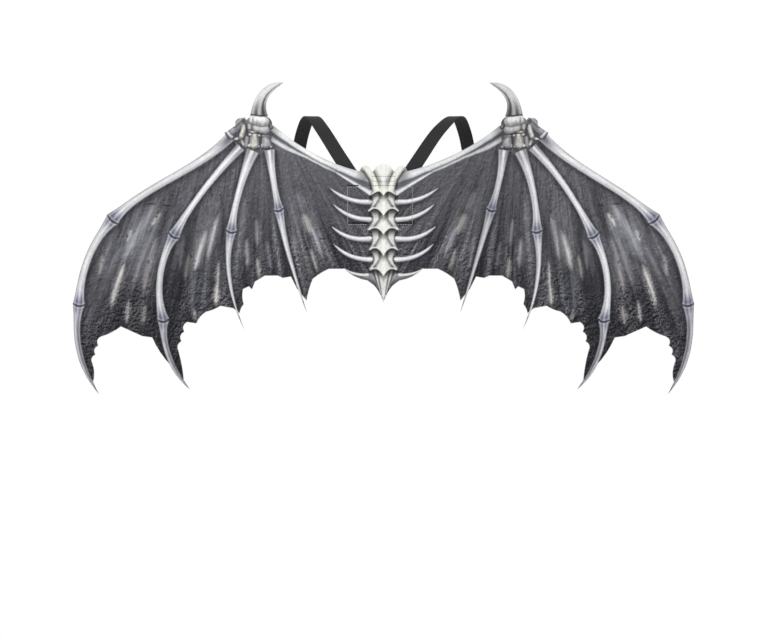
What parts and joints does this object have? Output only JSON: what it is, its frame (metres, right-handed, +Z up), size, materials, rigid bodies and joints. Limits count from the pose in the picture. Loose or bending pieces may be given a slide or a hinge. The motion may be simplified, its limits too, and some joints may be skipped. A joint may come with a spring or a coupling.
{
  "type": "costume wings",
  "caption": "Bat-style costume wings cut from a printed felt sheet with a bone print, a sewn back patch and elastic shoulder straps, worn on the back.",
  "frame": {"origin": "middle of the flat wearer's side of the sewn patch, level with the spine's axis", "axes": "+Z up, +X to the right as the printed face is seen, +Y from the printed face towards the wearer"},
  "size_m": [0.9, 0.1517, 0.4523],
  "materials": {
    "printed_felt": "matte print",
    "plain_felt": "matte",
    "black_elastic": "matte"
  },
  "bodies": {
    "root": {"wing_panel": "printed_felt", "anchor_patch": "plain_felt", "strap_left": "black_elastic", "strap_right": "black_elastic"}
  },
  "joints": []
}
